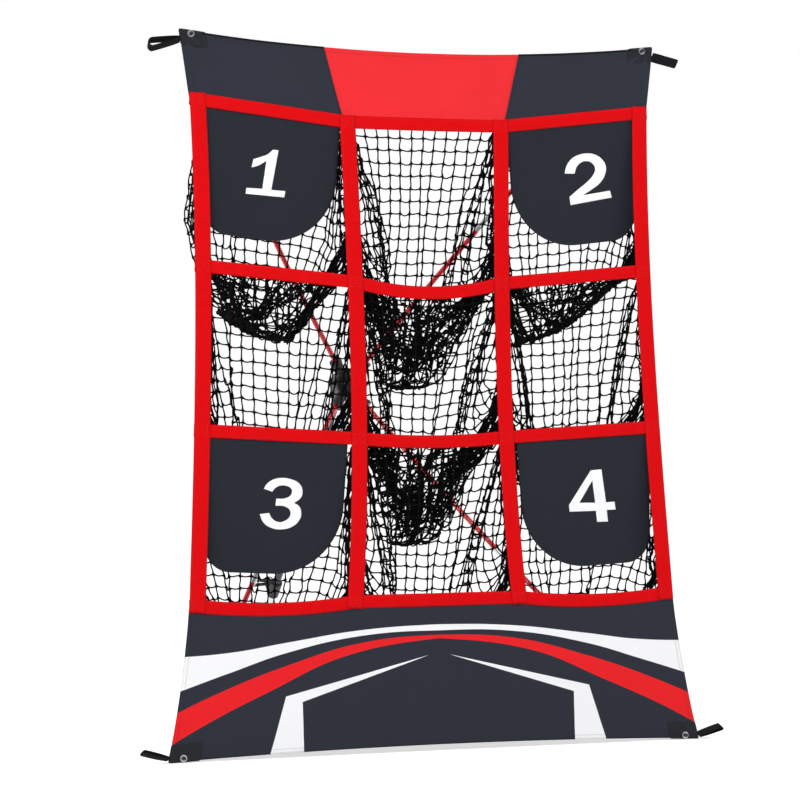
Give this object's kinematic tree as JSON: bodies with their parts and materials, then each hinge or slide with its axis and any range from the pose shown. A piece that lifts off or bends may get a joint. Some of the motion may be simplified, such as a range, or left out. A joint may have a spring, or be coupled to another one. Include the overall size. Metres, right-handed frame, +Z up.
{
  "type": "pitching target net",
  "caption": "Free-standing pitching target: a webbed panel with net pockets and numbered flaps on bowed poles, a hub and a telescopic rear leg.",
  "frame": {"origin": "on the ground, at the centre of the part's box", "axes": "+Z up, +Y from the panel back to the rear leg, -Y faces the pitcher, +X to the pitcher's right"},
  "size_m": [1.4264, 1.5938, 1.651],
  "materials": {
    "dark_cloth": "printed polyester, matt",
    "flap_cloth": "polyester, matt",
    "red_cloth": "printed polyester, matt",
    "red_webbing": "woven webbing",
    "netting": "knotless twine, 25 mm mesh",
    "patch_webbing": "woven, stitched",
    "pole_fibreglass": "glossy fibreglass rod",
    "ferrule_metal": "drawn tube",
    "eyelet_metal": "nickel plated",
    "screw_steel": "zinc plated",
    "moulded_plastic": "moulded nylon",
    "leg_paint": "powder coat",
    "slider_metal": "anodised tube",
    "foot_rubber": "moulded rubber"
  },
  "bodies": {
    "frame": {"top_cloth_left": "dark_cloth", "upright_web_outer_left": "red_webbing", "upright_web_inner_left": "red_webbing", "top_cloth_right": "dark_cloth", "upright_web_outer_right": "red_webbing", "upright_web_inner_right": "red_webbing", "top_red_panel": "red_cloth", "bottom_cloth": "dark_cloth", "cross_web_top": "red_webbing", "cross_web_upper": "red_webbing", "cross_web_lower": "red_webbing", "cross_web_base": "red_webbing", "net_bag_top_left": "netting", "net_bag_top_centre": "netting", "net_bag_top_right": "netting", "net_bag_middle_left": "netting", "net_bag_middle_centre": "netting", "net_bag_middle_right": "netting", "net_bag_bottom_left": "netting", "net_bag_bottom_centre": "netting", "net_bag_bottom_right": "netting", "corner_patch_top_left": "patch_webbing", "pull_loop_top_left": "patch_webbing", "pole_hub_half_top_left": "pole_fibreglass", "pole_tip_half_top_left": "pole_fibreglass", "pole_tip_top_left": "moulded_plastic", "corner_patch_top_right": "patch_webbing", "pull_loop_top_right": "patch_webbing", "pole_hub_half_top_right": "pole_fibreglass", "pole_tip_half_top_right": "pole_fibreglass", "pole_tip_top_right": "moulded_plastic", "corner_patch_bottom_left": "patch_webbing", "pull_loop_bottom_left": "patch_webbing", "pole_hub_half_bottom_left": "pole_fibreglass", "pole_tip_half_bottom_left": "pole_fibreglass", "pole_tip_bottom_left": "moulded_plastic", "corner_patch_bottom_right": "patch_webbing", "pull_loop_bottom_right": "patch_webbing", "pole_hub_half_bottom_right": "pole_fibreglass", "pole_tip_half_bottom_right": "pole_fibreglass", "pole_tip_bottom_right": "moulded_plastic", "pole_ferrules": "ferrule_metal", "corner_eyelets": "eyelet_metal", "hub_body": "moulded_plastic", "hub_cap": "moulded_plastic", "hub_screws": "screw_steel", "leg_pivot_pin": "screw_steel"},
    "leg": {"leg_knuckle": "moulded_plastic", "leg_tube": "leg_paint", "leg_clamp": "moulded_plastic", "clamp_lever_pin": "screw_steel"},
    "leg_slider": {"leg_slider": "slider_metal", "rear_foot": "foot_rubber"},
    "clamp_lever": {"clamp_lever": "moulded_plastic"},
    "flap_1": {"flap_1": "flap_cloth"},
    "flap_2": {"flap_2": "flap_cloth"},
    "flap_3": {"flap_3": "flap_cloth"},
    "flap_4": {"flap_4": "flap_cloth"}
  },
  "joints": [
    {"name": "flap_1_swing", "type": "hinge", "parent": "frame", "child": "flap_1", "pos_m": [-0.207, -0.6706, 1.44488], "axis": [0.9932, -0.0091, -0.1158], "range_deg": [-3, 30]},
    {"name": "flap_2_swing", "type": "hinge", "parent": "frame", "child": "flap_2", "pos_m": [0.207, -0.6706, 1.44488], "axis": [0.9932, 0.0091, 0.1158], "range_deg": [-3, 30]},
    {"name": "flap_3_swing", "type": "hinge", "parent": "frame", "child": "flap_3", "pos_m": [-0.209, -0.72806, 0.71478], "axis": [0.9984, -0.0044, -0.0557], "range_deg": [-3, 18]},
    {"name": "flap_4_swing", "type": "hinge", "parent": "frame", "child": "flap_4", "pos_m": [0.209, -0.72806, 0.71478], "axis": [0.9984, 0.0044, 0.0557], "range_deg": [-3, 18]},
    {"name": "leg_fold", "type": "hinge", "parent": "frame", "child": "leg", "pos_m": [0, -0.07437, 0.82532], "axis": [1, 0, 0], "range_deg": [-45, 0]},
    {"name": "leg_slide", "type": "slide", "parent": "leg", "child": "leg_slider", "axis": [0, 0.7071, -0.7071], "range_m": [-0.33, 0.1]},
    {"name": "clamp_lever_turn", "type": "hinge", "parent": "leg", "child": "clamp_lever", "pos_m": [-0.01, 0.47647, 0.30559], "axis": [0, 0.7071, -0.7071], "range_deg": [0, 100]}
  ]
}
